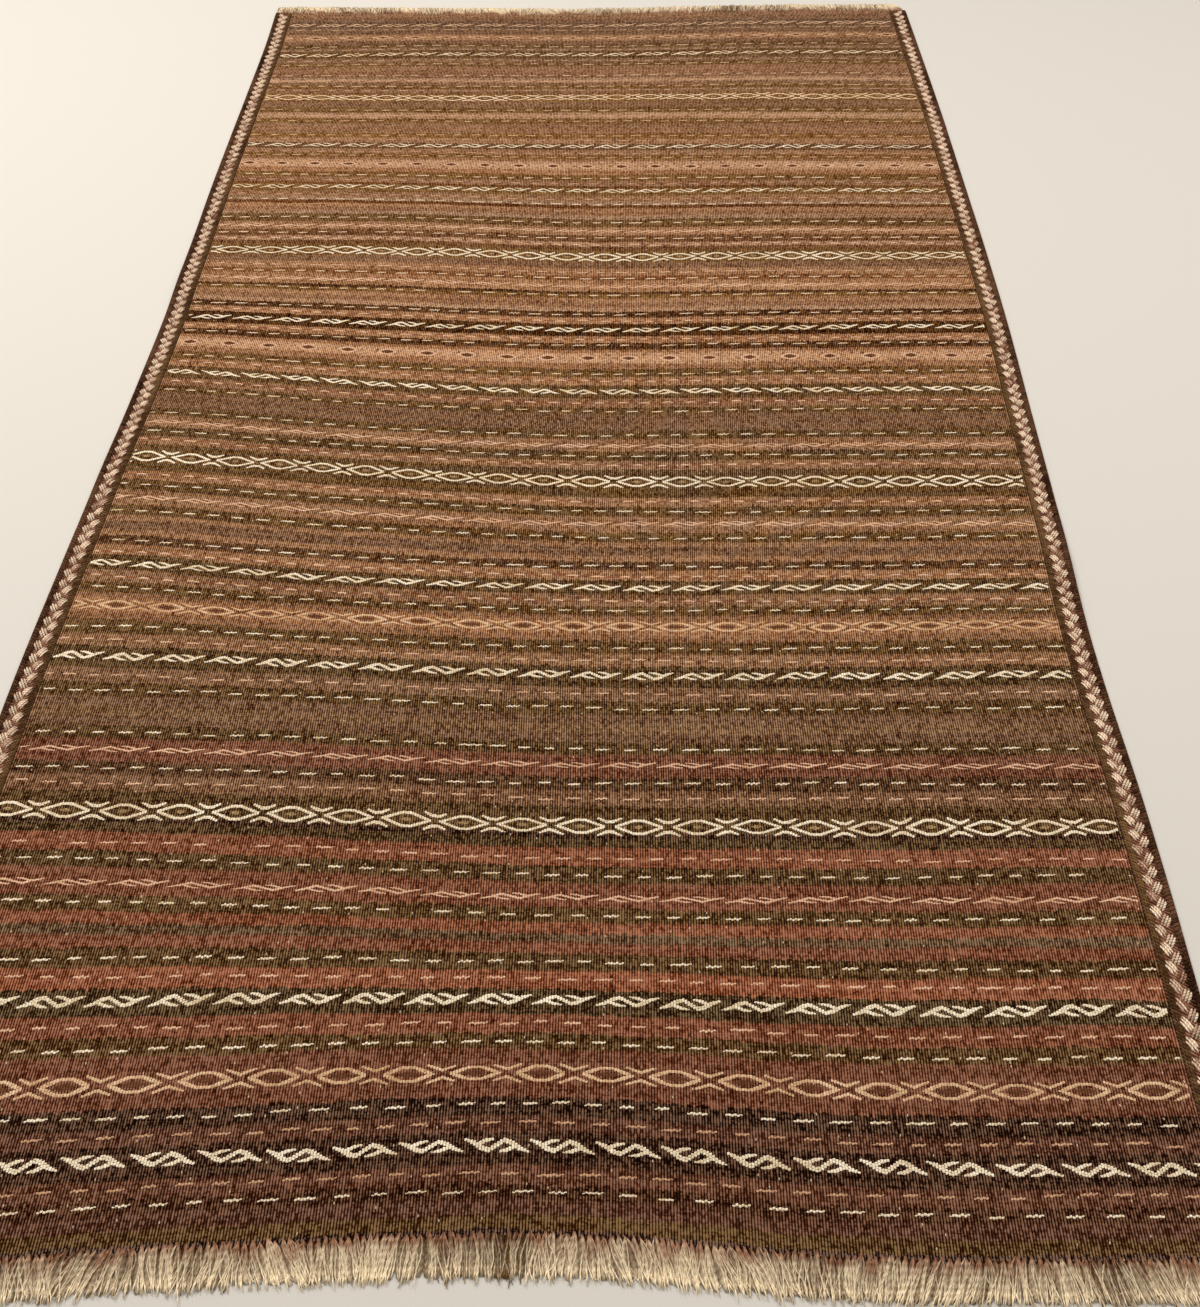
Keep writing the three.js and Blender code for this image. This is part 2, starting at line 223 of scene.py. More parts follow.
# Rows whose repeat was measured: how long one is, and where the middle of one lies across the cloth
MEASURED_ROWS = {
    -1249: (71, 24.5), -1170: (75, 0), -1086: (74, 21), -857: (73.5, -40), -618: (73, -24.6),
    -532: (73.6, 14.7), -458: (73.6, -24.6), -236: (71.5, -45), -20: (68.5, -3), 68: (70.4, 10),
    147: (70, -40), 366: (70.5, -38), 589: (68, -12.7), 680: (69.7, -2.3), 957: (72, -18),
}


def mirrored(yarn, *points):
    """A stroke and its mirror image across the row."""
    return (yarn, points), (yarn, tuple((x, -y, width) for x, y, width in points))


def turned_about(yarn, *points):
    """A stroke and the same one turned about the middle of the motif."""
    return (yarn, points), (yarn, tuple((-x, -y, width) for x, y, width in points))


# Motifs as they are charted: strokes through points (x, y, width) in mm about the middle of one
# repeat. A stroke named for a yarn keeps that yarn; one named None takes the row's.
DIAMOND_REPEAT = 74
VINE_REPEAT = 75.5
DASH_REPEAT = 38.2
MOTIFS = {
    "diamond": (DIAMOND_REPEAT, (
        *mirrored(None, (-30, 0, 3.6), (-6, 8.9, 3.8), (6, 8.9, 3.8), (30, 0, 3.6)),
        *mirrored(None, (23, 11.6, 2.8), (33, 6.9, 4.3), (41, 6.9, 4.3), (51, 11.6, 2.8)),
        ("eye", ((-5, 0, 2.4), (0, 0, 5.6), (5, 0, 2.4))),
    )),
    "vine": (VINE_REPEAT, (
        (None, ((-36.5, -5.4, 2), (-27, -2.6, 4.2), (-17, 2.4, 4.8), (-9, 4.6, 4), (0, 0, 4.2),
                (9, -4.6, 4), (17, -2.4, 4.8), (27, 2.6, 4.2), (36.5, 5.4, 2))),
        *turned_about(None, (-21, -1, 4), (-12, -4.4, 3.6), (-3, -5.6, 1.8)),
    )),
    "wave": (VINE_REPEAT, (
        (None, ((-37, -3.4, 1.6), (-24, -0.8, 2.6), (-12, 2.8, 2.8), (0, 0, 2.4),
                (12, -2.8, 2.8), (24, 0.8, 2.6), (37, 3.4, 1.6))),
        *turned_about(None, (-20, -1, 2.4), (-10, -3.4, 2), (-3, -3.8, 1.4)),
    )),
    "ochre_diamond": (DIAMOND_REPEAT, (
        *mirrored(None, (-27, 0, 3), (-18, 3.2, 4.4), (-7, 7.2, 3.1),
                  (7, 7.2, 3.1), (18, 3.2, 4.4), (27, 0, 3)),
        *mirrored(None, (22, 9.2, 2.4), (37, 4.2, 3.4), (52, 9.2, 2.4)),
        ("umber", ((-10, 0, 3), (0, 0, 7), (10, 0, 3))),
    )),
    "orange_diamond": (DIAMOND_REPEAT, (
        *mirrored("peach", (-17, 0, 2.6), (-8, 5.6, 2.6), (0, 7, 2.6), (8, 5.6, 2.6), (17, 0, 2.6)),
        *mirrored("clay", (19, 9, 2.4), (37, 1.6, 3), (55, 9, 2.4)),
        ("dark", ((-8, 0, 4), (0, 0, 9.6), (8, 0, 4))),
    )),
    "dark_diamond": (DIAMOND_REPEAT, (
        *mirrored("fawn", (-24, 0, 1.8), (0, 6.4, 1.6), (24, 0, 1.8)),
        (None, ((-5, 0, 2), (0, 0, 5), (5, 0, 2))),
    )),
    "dash": (DASH_REPEAT, (
        (None, ((-9, -0.9, 1.6), (-5, 0.5, 2.3), (-1.6, -0.7, 2.3), (2.4, 0.8, 2.3),
                (5.4, -0.3, 2.2), (9, 0.9, 1.6))),
    )),
    "counter": (DASH_REPEAT, (
        (None, ((-16, -0.4, 2.6), (-9, 0.6, 3), (-2, -0.4, 2.6))),
        ("rust", ((4, -0.7, 2.6), (9, 0.6, 2.8), (15, -0.5, 2.4))),
    )),
}


def varied(motif, turned=1, taller=1.0, thinner=1.0):
    """A motif of the chart worked turned about, taller or with thinner strokes."""
    repeat, strokes = MOTIFS[motif]
    return repeat, tuple(
        (yarn, tuple((x * turned, y * taller, width * thinner) for x, y, width in stroke))
        for yarn, stroke in strokes)


MOTIFS["vine_left"] = varied("vine", turned=-1)
MOTIFS["thin_vine"] = varied("vine", taller=1.1, thinner=0.76)
MOTIFS["thin_diamond"] = varied("diamond", thinner=0.84)

# The ornament yarns: the dye's two extremes, which single stitches lie between
YARNS = {
    "cream": ("#d0ba94", "#f8ebd4"),
    "wheat": ("#d9b68e", "#f9e2c6"),
    "fawn": ("#bd9470", "#e2be9c"),
    "peach": ("#c69879", "#e6c1a2"),
    "clay": ("#b08362", "#cfa785"),
    "ochre": ("#b68e66", "#e4c29e"),
    "rust": ("#6e3c28", "#94583d"),
    "umber": ("#4e2e1c", "#6e4630"),
    "dark": ("#42200a", "#5c3216"),
    "eye": ("#806644", "#b2946c"),
}


def linear(hex_colour, tone=1.0):
    """A colour socket's value from an sRGB hex colour, lightened or darkened by its tone."""
    shares = [min(1.0, int(hex_colour[i:i + 2], 16) / 255 * tone) for i in (1, 3, 5)]
    return (*(c / 12.92 if c <= 0.04045 else ((c + 0.055) / 1.055) ** 2.4 for c in shares), 1)


class RugSizes(bpy.types.PropertyGroup):
    """Sizes of the weave that a user would change."""
    ribs: IntProperty(
        name="Ribs", description="Warp ribs across the cloth", default=448, min=50, max=460)
    thickness: FloatProperty(
        name="Thickness", description="Of the cloth at a rib's crest",
        default=2.6 * MM, min=0.001, max=0.004, subtype="DISTANCE", unit="LENGTH")
    rib_relief: FloatProperty(
        name="Rib relief", description="How deep the furrows between the ribs are",
        default=0.6 * MM, min=0, max=0.0012, subtype="DISTANCE", unit="LENGTH")
    stitch_rise: FloatProperty(
        name="Stitch rise", description="How far an ornament stitch stands above the ribs",
        default=0.6 * MM, min=0.0001, max=0.002, subtype="DISTANCE", unit="LENGTH")
    near_fringe: FloatProperty(
        name="Near fringe", description="Length of the warps at the near end",
        default=42 * MM, min=0.01, max=0.05, subtype="DISTANCE", unit="LENGTH")
    far_fringe: FloatProperty(
        name="Far fringe", description="Length of the warps at the far end",
        default=36 * MM, min=0.01, max=0.05, subtype="DISTANCE", unit="LENGTH")
    fringe_bunches: IntProperty(
        name="Fringe bunches", description="Bunches of warps along each end",
        default=200, min=20, max=230)


class RugColours(bpy.types.PropertyGroup):
    """Colours that a user would change."""
    warp: FloatVectorProperty(
        name="Warp", description="Undyed warp wool", subtype="COLOR", size=4,
        default=linear("#fdebca"), min=0, max=1)
    binding: FloatVectorProperty(
        name="Binding", description="Wool that the edge cord is overcast with",
        subtype="COLOR", size=4, default=linear("#4a2e20"), min=0, max=1)
    floor: FloatVectorProperty(
        name="Floor", description="Plain floor under the rug", subtype="COLOR", size=4,
        default=linear("#cbc7c0"), min=0, max=1)


# Where the cloth lies

def hermite(a, va, sa, b, vb, sb, at):
    """The cubic from (a, va) with slope sa to (b, vb) with slope sb."""
    span = b - a
    t = (at - a) / span
    rise = t * t * (3 - 2 * t)
    return va * (1 - rise) + vb * rise + span * (sa * t * (1 - t) ** 2 - sb * t * t * (1 - t))


def read_sections(column, along):
    """A smooth curve through one column of the sections, read at places along the rug."""
    places, values = SECTIONS[:, 0], SECTIONS[:, SECTION_COLUMNS.index(column)]
    last = len(places) - 1
    at = np.clip(along, places[0], places[-1])
    i = np.clip(np.searchsorted(places, at) - 1, 0, last - 1)

    def slope(k):
        before, after = np.maximum(k - 1, 0), np.minimum(k + 1, last)
        return (values[after] - values[before]) / (places[after] - places[before])

    return hermite(places[i], values[i], slope(i), places[i + 1], values[i + 1], slope(i + 1), at)


def weft_drift(across, along):
    """How far a weft line has strayed along the rug at places in the cloth."""
    middle = np.zeros_like(along)
    drifts = np.stack([
        read_sections("left", along), read_sections("mid_left", along), middle,
        read_sections("mid_right", along), read_sections("right", along),
    ])
    last = len(drifts) - 1
    steps = across / DRIFT_STATION + last / 2
    i = np.clip(np.floor(steps).astype(int), 0, last - 1)

    def value(k):
        return np.take_along_axis(drifts, k[None], 0)[0]

    def slope(k):
        return (value(np.minimum(k + 1, last)) - value(np.maximum(k - 1, 0))) / 2

    inside = np.clip(steps, 0, last)
    return hermite(i, value(i), slope(i), i + 1, value(i + 1), slope(i + 1), inside)


def ripple_height(across, along):
    """How high the cloth stands off the floor at places in it."""
    height = np.zeros_like(across)
    for x0, y0, reach, half_width, lean_deg, rise in RIPPLES:
        lean = math.radians(lean_deg)
        x, y = across - x0, along - y0
        on_crest = (y * math.cos(lean) - x * math.sin(lean)) / reach
        off_crest = (x * math.cos(lean) + y * math.sin(lean)) / half_width
        height += rise * np.exp(-on_crest ** 4 - off_crest ** 2)
    from_end = np.clip(np.minimum(along - NEAR_END, FAR_END - along) / RIPPLE_FREE_END, 0, 1)
    return np.maximum(0, height * from_end * from_end * (3 - 2 * from_end) - LEVEL_BELOW)


def lay_on_floor(across, along, up):
    """Places in the cloth in mm turned into points of the rug as it lies, in metres."""
    across, along, up = (np.asarray(v, dtype=float) for v in np.broadcast_arrays(across, along, up))
    side = across / RUG_WIDTH + 0.5
    left, right = read_sections("left_side", along), read_sections("right_side", along)
    shift = left * (1 - side) + right * side
    return np.stack([
        across + shift, along + weft_drift(across, along), up + ripple_height(across, along),
    ], -1) * MM


def seen_farther(across, along, up):
    """How much farther off a raised place looks, over the floor on which the stripes and the
    ornament rows were measured."""
    return (up + ripple_height(across, along)) * (along + VIEW_FROM) / VIEW_HEIGHT


# Meshes

def finished(name, mesh, material, smooth=True):
    """An object for a finished mesh, riding on the rug's one body."""
    mesh.materials.append(material)
    mesh.polygons.foreach_set("use_smooth", [smooth] * len(mesh.polygons))
    piece = bpy.data.objects.new(name, mesh)
    bpy.context.scene.collection.objects.link(piece)
    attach(piece, "root")
    return piece


def template_arrays(bm):
    """The points and the faces of a template, which tiled_mesh repeats."""
    points = np.array([v.co[:] for v in bm.verts])
    bm.verts.index_update()
    faces = [[v.index for v in f.verts] for f in bm.faces]
    bm.free()
    return points, faces


def tube_template(sides, stations):
    """A closed tube of unit radius with one ring at each station."""
    bm = bmesh.new()
    ring = bmesh.ops.create_circle(bm, cap_ends=True, segments=sides, radius=1)["verts"]
    bm.faces.ensure_lookup_table()
    end = bm.faces[0]
    for _ in range(stations - 1):
        is_first = len(ring) == len(bm.verts)
        made = bmesh.ops.extrude_face_region(bm, geom=[end], use_keep_orig=is_first)["geom"]
        verts = [v for v in made if isinstance(v, bmesh.types.BMVert)]
        end = next(f for f in made if isinstance(f, bmesh.types.BMFace))
        bmesh.ops.translate(bm, verts=verts, vec=(0, 0, 1))
    bmesh.ops.recalc_face_normals(bm, faces=bm.faces)
    return template_arrays(bm)


def stitch_template(ridge_share):
    """A stitch seen as a plump turn of yarn: a unit box drawn in to a ridge along the yarn."""
    bm = bmesh.new()
    bmesh.ops.create_cube(bm, size=2)
    upper = [v for v in bm.verts if v.co.z > 0]
    bmesh.ops.scale(bm, verts=upper, vec=(ridge_share, 0, 1))
    bmesh.ops.remove_doubles(bm, verts=bm.verts, dist=1e-4)
    return template_arrays(bm)


def tiled_mesh(name, points, faces):
    """One mesh of many like closed forms. points has one row of the template's points for each."""
    count, size = points.shape[:2]
    starts = (np.arange(count) * size)[:, None]
    corners = (np.concatenate(faces)[None] + starts).ravel()
    lengths = np.tile([len(f) for f in faces], count)
    mesh = bpy.data.meshes.new(name)
    mesh.vertices.add(count * size)
    mesh.vertices.foreach_set("co", points.astype(np.float32).ravel())
    mesh.loops.add(len(corners))
    mesh.loops.foreach_set("vertex_index", corners.astype(np.int32))
    mesh.polygons.add(len(lengths))
    mesh.polygons.foreach_set("loop_start", (np.cumsum(lengths) - lengths).astype(np.int32))
    mesh.update(calc_edges=True)
    return mesh


def crease_base(mesh, is_base):
    """Keeps the shading of the underside out of that of the rounded upper side."""
    ends = np.empty(2 * len(mesh.edges), np.int32)
    mesh.edges.foreach_get("vertices", ends)
    layer = mesh.attributes.new("sharp_edge", "BOOLEAN", "EDGE")
    layer.data.foreach_set("value", is_base[ends.reshape(-1, 2)].all(1))


def give_tone(mesh, tones, size):
    """A tone from 0 to 1 for each form of a tiled mesh, which its material reads."""
    layer = mesh.attributes.new("tone", "FLOAT", "POINT")
    layer.data.foreach_set("value", np.repeat(tones, size).astype(np.float32))


def give_map(mesh, name, per_vertex, shown=False):
    """A UV map from one place for each vertex."""
    corners = np.empty(len(mesh.loops), np.int32)
    mesh.loops.foreach_get("vertex_index", corners)
    layer = mesh.uv_layers.new(name=name)
    layer.data.foreach_set("uv", per_vertex[corners].astype(np.float32).ravel())
    if shown:
        mesh.uv_layers.active = layer
        layer.active_render = True


def yarn_paths(name, paths, radii, sides, material, tones, flatten):
    """Many lengths of yarn in one mesh. paths has the points of each in metres, and radii their
    half widths; flatten is a yarn's height over its width."""
    count, stations = paths.shape[:2]
    unit, faces = tube_template(sides, stations)
    station = unit[:, 2].round().astype(int)
    ahead = np.gradient(paths, axis=1)
    ahead /= np.linalg.norm(ahead, axis=2, keepdims=True)
    beside = np.cross(ahead, (0, 0, 1))
    beside /= np.maximum(np.linalg.norm(beside, axis=2, keepdims=True), 1e-9)
    above = np.cross(beside, ahead)
    width = radii[:, station, None]
    height = width * np.reshape(flatten, (-1, 1, 1))
    points = (
        paths[:, station]
        + beside[:, station] * width * unit[None, :, 0, None]
        + above[:, station] * height * unit[None, :, 1, None]
    )
    mesh = tiled_mesh(name, points, faces)
    give_tone(mesh, tones, len(unit))
    steps = np.linalg.norm(np.diff(paths, axis=1), axis=2)
    run = np.concatenate([np.zeros((count, 1)), np.cumsum(steps, 1)], 1)
    around = np.arctan2(unit[:, 1], unit[:, 0]) / math.tau + 0.5
    give_map(mesh, "yarn", np.stack([
        np.broadcast_to(around, points.shape[:2]).ravel(), run[:, station].ravel()
    ], 1), shown=True)
    return finished(name, mesh, material)


# Materials

COLOUR_MIX = {"data_type": "RGBA", "clamp_result": True}


def add_node(tree, kind, inputs=(), **settings):
    """Adds a node with its settings and returns its outputs. The inputs are given in their order,
    or by name or number in a dictionary, each as a value or as another node's output."""
    node = tree.nodes.new("ShaderNode" + kind)
    for name, value in settings.items():
        setattr(node, name, value)
    for socket, value in inputs.items() if isinstance(inputs, dict) else enumerate(inputs):
        if isinstance(value, bpy.types.NodeSocket):
            tree.links.new(value, node.inputs[socket])
        else:
            node.inputs[socket].default_value = value
    return node.outputs


def new_material(name):
    """An empty material and the function that adds nodes to it."""
    material = bpy.data.materials.new(name)
    material.use_nodes = True
    material.node_tree.nodes.clear()
    return material, partial(add_node, material.node_tree)


def set_stops(ramp, stops, interpolation="LINEAR"):
    """Fills a colour ramp with stops, each a place and a colour."""
    ramp.interpolation = interpolation
    while len(ramp.elements) > 1:
        ramp.elements.remove(ramp.elements[-1])
    ramp.elements[0].position, ramp.elements[0].color = stops[0]
    for place, colour in stops[1:]:
        ramp.elements.new(place).color = colour


def per_metre(*sizes_mm):
    """A Mapping node's scale for a pattern whose forms are this long across and along, in mm."""
    return (*(1 / (size * MM) for size in sizes_mm), 1.0)


def streaks(add, place, sizes_mm, detail=2.0, roughness=0.5):
    """Noise whose size differs across and along, such as the streaks in a weft."""
    stretched = add("Mapping", {"Vector": place, "Scale": per_metre(*sizes_mm)})[0]
    return add("TexNoise", {
        "Vector": stretched, "Scale": 1.0, "Detail": detail, "Roughness": roughness,
    }, noise_dimensions="2D")[0]


def summed(add, *terms):
    """The sum of several (value, weight, middle) terms, each as weight * (value - middle)."""
    total = None
    for value, weight, middle in terms:
        from_middle = add("Math", (value, middle), operation="SUBTRACT")[0]
        part = add("Math", (from_middle, weight), operation="MULTIPLY")[0]
        total = part if total is None else add("Math", (total, part), operation="ADD")[0]
    return total


def tinted(add, share, colour, tint):
    """A colour multiplied by a tint as far as the share says."""
    return add("Mix", {0: share, 6: colour, 7: tint}, blend_type="MULTIPLY", **COLOUR_MIX)[2]


def flecks_and_painted_light(add, colour, shade, dark, reach):
    """A colour with its light and dark flecks and its painted light: above zero the shade adds a
    pale in the hue of its dye, partly paler wool and partly painted highlight on the rib crests and
    the tops of the overcast turns; below zero it darkens toward the dark tint, partly darker wool
    and partly painted shade in the furrows and between the turns."""
    hue, saturation, _ = add("SeparateColor", (colour,), mode="HSV")
    full = add("CombineColor", (hue, saturation, 1.0), mode="HSV")[0]
    pale = add("Gamma", (full, 0.5))[0]
    rise = add("MapRange", (shade, 0.0, 1.0, 0.0, 1.0))[0]
    lit = add("Math", (rise, reach), operation="MULTIPLY")[0]
    paled_and_highlit = add("Mix", {0: lit, 6: colour, 7: pale}, blend_type="ADD", **COLOUR_MIX)[2]
    darkened_share = add("MapRange", (shade, -1.0, 0.0, 1.0, 0.0))[0]
    return tinted(add, darkened_share, paled_and_highlit, dark)


def add_wool_shader(add, colour, height, strength, depth_mm):
    """Matt wool with its relief: it gives almost no glint."""
    bump = add("Bump", {"Height": height, "Strength": strength, "Distance": depth_mm * MM})[0]
    shader = add("BsdfPrincipled", {
        "Base Color": colour, "Roughness": 0.95, "Specular IOR Level": 0.03, "Normal": bump})[0]
    add("OutputMaterial", (shader,))


RAMP_SPAN = 0.3  # metres of cloth to a ramp, so that a stripe's edge is drawn to about 1 mm
TONE_PIVOT = 92
TONE_CONTRAST = 1.35


def stripe_colours(add, along):
    """The stripes' colours, read from a chain of ramps along the rug. The pale flecks lift the
    dark stripes, so the tones are drawn further apart than they look."""
    stripes = [
        (start * MM, linear(DYES[dye], TONE_PIVOT / 100 * (tone / TONE_PIVOT) ** TONE_CONTRAST))
        for start, dye, tone in STRIPES
    ]
    colour = None
    start = NEAR_END * MM
    while start < FAR_END * MM:
        before = [c for place, c in stripes if place <= start] or [stripes[0][1]]
        inside = [(place, c) for place, c in stripes if start < place < start + RAMP_SPAN]
        stops = [(0.0, before[-1])] + [((place - start) / RAMP_SPAN, c) for place, c in inside]
        past_start = add("Math", (along, start), operation="SUBTRACT")[0]
        share = add("Math", (past_start, RAMP_SPAN), operation="DIVIDE")[0]
        part = add("ValToRGB", (share,))[0]
        set_stops(part.node.color_ramp, stops, "CONSTANT")
        if colour is None:
            colour = part
        else:
            is_past = add("Math", (along, start), operation="GREATER_THAN")[0]
            colour = add("Mix", {0: is_past, 6: colour, 7: part}, **COLOUR_MIX)[2]
        start += RAMP_SPAN
    return colour


BEAD = 2.0  # mm along a rib to one weft bead; true beads are 1.2 mm, which is finer than is seen


def woven_wool(sizes):
    """Weft-faced wool flat weave, hand-spun and vegetable-dyed. Its wefts are packed over ribs
    3.2 mm apart, so the eye sees fine lines along the rug, broken into beads by the wefts; each
    pick took the dye a little differently, so the stripes are streaked, and their edges step from
    rib to rib."""
    material, add = new_material("weft_faced_wool_flat_weave")
    place = add("UVMap", uv_map="weave")[0]
    across, along, _ = add("SeparateXYZ", (place,))
    from_middle = add("Math", (across, CLOTH_WIDTH * MM / sizes.ribs), operation="DIVIDE")[0]
    ribs = add("Math", (from_middle, sizes.ribs / 2), operation="ADD")[0]
    rib_number = add("Math", (ribs,), operation="FLOOR")[0]
    angle = add("Math", (ribs, math.pi), operation="MULTIPLY")[0]
    wave = add("Math", (angle,), operation="COSINE")[0]
    fold = add("Math", (wave,), operation="ABSOLUTE")[0]
    # Narrow mask of the furrows between the ribs: painted shade in the furrows, painted highlight
    # on the crests
    furrow = add("Math", (fold, 3.0), operation="POWER")[0]

    # Beads of neighbouring ribs lie half a bead apart
    beads = add("Math", (along, BEAD * MM), operation="DIVIDE")[0]
    half_steps = add("Math", (rib_number, 0.5), operation="MULTIPLY")[0]
    stepped = add("Math", (beads, half_steps), operation="ADD")[0]
    bead_number = add("Math", (stepped,), operation="FLOOR")[0]
    cell = add("CombineXYZ", (rib_number, bead_number))[0]
    bead = add("TexWhiteNoise", {"Vector": cell}, noise_dimensions="2D")["Value"]
    # Each rib has its own runs of light and dark, some a few centimetres long, some a few picks
    own_place = add("Math", (rib_number, 7.31), operation="MULTIPLY")[0]
    down_rib = add("CombineXYZ", (own_place, along))[0]
    run, clump = (streaks(add, down_rib, (1000, length), 1) for length in (29.4, 7.69))
    grain = streaks(add, place, (5.26, 2.38), 2, 0.6)

    # A weft line wobbles by about 1 mm, more slowly and more over a hand's breadth
    wobble = summed(
        add, (streaks(add, place, (111, 33.3)), 7 * MM, 0.5),
        (streaks(add, place, (14.3, 3.85)), 3.5 * MM, 0.5), (bead, 2.4 * MM, 0.5),
        (run, 3 * MM, 0.5))
    colour = stripe_colours(add, add("Math", (along, wobble), operation="ADD")[0])

    # Some wefts took more madder, some more weld
    madder = add("MapRange", (streaks(add, place, (417, 16.7), 3), 0.3, 0.7, 0.0, 0.5))[0]
    colour = tinted(add, madder, colour, linear("#f6e2d0"))
    weld = add("MapRange", (streaks(add, place, (25, 6.67), 2), 0.5, 0.7, 0.0, 0.1))[0]
    colour = tinted(add, weld, colour, linear("#e6efcf"))

    # Dye lots, streaks of single picks, rib runs and beads as random tone, and painted shade: each
    # furrow between the ribs is painted dark and each crest painted light
    shade = summed(
        add, (furrow, -2.1, 0.37), (bead, 1.0, 0.5), (run, 1.0, 0.5), (clump, 3.2, 0.5),
        (grain, 1.2, 0.5), (streaks(add, place, (714, 38.5), 3), 0.5, 0.5),
        (streaks(add, place, (286, 9.09), 3), 0.9, 0.5),
        (streaks(add, place, (62.5, 2.38), 3), 1.3, 0.5))
    colour = flecks_and_painted_light(add, colour, shade, linear("#7a5428"), 0.16)

    # Slubs of pale wool, each on a rib or two
    slub_place = add("Mapping", {"Vector": place, "Scale": per_metre(11.1, 23.8)})[0]
    slub = add("TexVoronoi", {"Vector": slub_place, "Scale": 1.0}, voronoi_dimensions="2D")
    chance = add("SeparateColor", (slub["Color"],))[0]
    is_near = add("Math", (slub["Distance"], 0.06), operation="LESS_THAN")[0]
    is_chosen = add("Math", (chance, 0.1), operation="LESS_THAN")[0]
    is_slub = add("Math", (is_near, is_chosen), operation="MULTIPLY")[0]
    share = add("Math", (is_slub, 0.75), operation="MULTIPLY")[0]
    colour = add("Mix", {0: share, 6: colour, 7: linear("#d9c6a8")}, **COLOUR_MIX)[2]

    # Round ribs, and the picks that cross them
    height = summed(add, (furrow, -1.2, 0.4), (grain, 1.6, 0.5))
    add_wool_shader(add, colour, height, 0.5, 0.5)
    return material


FLECK = 2.38  # mm from one light fleck to the next in spun wool


def spun_wool(name, low, high, twist_mm, strength, cleft_shade_tint="#8a6f55", speckle=0.3, tint=None):
    """Plied hand-spun wool. The two plies show as slanting grooves, painted darker as shade in the
    cleft between the plies, and single stitches differ in tone because the fleece wasn't one
    colour."""
    material, add = new_material(name)
    tone = add("Attribute", attribute_name="tone")["Fac"]
    place = add("TexCoord")["Object"]
    fleck = add("TexNoise", {"Vector": place, "Scale": 1 / (FLECK * MM), "Detail": 2.0})[0]
    stray = add("MapRange", (fleck, 0.3, 0.7, -speckle, speckle))[0]
    strayed = add("Math", (tone, stray), operation="ADD")[0]
    share = add("MapRange", (strayed, 0.0, 1.0, 0.0, 1.0))[0]
    colour = add("Mix", {0: share, 6: low, 7: high}, **COLOUR_MIX)[2]
    height = fleck
    if twist_mm:
        around, run, _ = add("SeparateXYZ", (add("UVMap", uv_map="yarn")[0],))
        plies = add("Math", (around, 2 * math.tau), operation="MULTIPLY")[0]
        twist = add("Math", (run, math.tau / (twist_mm * MM)), operation="MULTIPLY")[0]
        turn = add("Math", (plies, twist), operation="ADD")[0]
        ply = add("Math", (turn,), operation="SINE")[0]
        height = add("Math", (ply, fleck), operation="ADD")[0]
        # Painted shade in the cleft between the two plies
        painted_groove_shade = add("MapRange", (ply, -1.0, -0.2, 0.5, 0.0))[0]
        colour = tinted(add, painted_groove_shade, colour, linear(cleft_shade_tint))
    if tint:
        colour = tint(add, colour)
    add_wool_shader(add, colour, height, strength, 0.4)
    return material


# The woven cloth

CLOTH_ROWS = 48
# The second map's layout: its rim, how wide a layer is and where the face starts
MAP_RIM = 0.01
LAYER_SHARE = 0.47
FACE_START = 0.52


class RUG_OT_weave_cloth(bpy.types.Operator):
    """Weaves the ribbed, striped cloth."""
    bl_idname = "rug.weave_cloth"
    bl_label = "Weave the cloth"

    def execute(self, context):
        sizes = context.scene.rug_sizes
        columns = 2 * sizes.ribs
        mesh = self.two_layers(columns)
        grid = np.empty(len(mesh.vertices) * 3, np.float32)
        mesh.vertices.foreach_get("co", grid)
        across, along, layer = grid.reshape(-1, 3).astype(float).T
        step = np.rint((across / CLOTH_WIDTH + 0.5) * columns).astype(int)
        furrow = np.where(step % 2 == 0, sizes.rib_relief / MM, 0)
        is_top = layer > -0.5
        up = np.where(is_top, sizes.thickness / MM - furrow, furrow)
        mesh.vertices.foreach_set(
            "co", lay_on_floor(across, along, up).astype(np.float32).ravel())
        seen_along = along + seen_farther(across, along, sizes.thickness / MM)
        give_map(mesh, "weave", np.stack([across, seen_along], 1) * MM, shown=True)
        # A second map lays the face and the back side by side in one square
        share_along = np.clip((along - NEAR_END) / WOVEN_LENGTH, 0, 1)
        share_across = (across / CLOTH_WIDTH + 0.5) * LAYER_SHARE
        give_map(mesh, "OFBake", np.stack([
            share_along * (1 - 2 * MAP_RIM) + MAP_RIM,
            share_across + np.where(is_top, FACE_START, MAP_RIM)], 1))
        mesh.uv_layers["weave"].active_render = True
        mesh.update()
        cloth = finished("rug_cloth_woven", mesh, woven_wool(sizes), smooth=False)
        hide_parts("rug_cloth")
        return {"FINISHED"}

    def two_layers(self, columns):
        """A closed slab in mm: the face at 0, the back at -1 and a wall round them."""
        bm = bmesh.new()
        bmesh.ops.create_grid(
            bm, x_segments=columns, y_segments=CLOTH_ROWS, size=1,
            matrix=Matrix.Diagonal((CLOTH_WIDTH / 2, WOVEN_LENGTH / 2, 1, 1)))
        rims = [e for e in bm.edges if e.is_boundary]
        copied = bmesh.ops.duplicate(bm, geom=bm.verts[:] + bm.edges[:] + bm.faces[:])["geom"]
        verts, edges, faces = (
            [part for part in copied if isinstance(part, kind)]
            for kind in (bmesh.types.BMVert, bmesh.types.BMEdge, bmesh.types.BMFace))
        bmesh.ops.translate(bm, verts=verts, vec=(0, 0, -1))
        bmesh.ops.reverse_faces(bm, faces=faces)
        rims += [e for e in edges if e.is_boundary]
        bmesh.ops.bridge_loops(bm, edges=rims)
        mesh = bpy.data.meshes.new("rug_cloth_woven")
        bm.to_mesh(mesh)
        bm.free()
        return mesh


# The soumak ornament

STITCH_ROW = 3.1
STITCH_LEANS = (-0.1, 0.26)
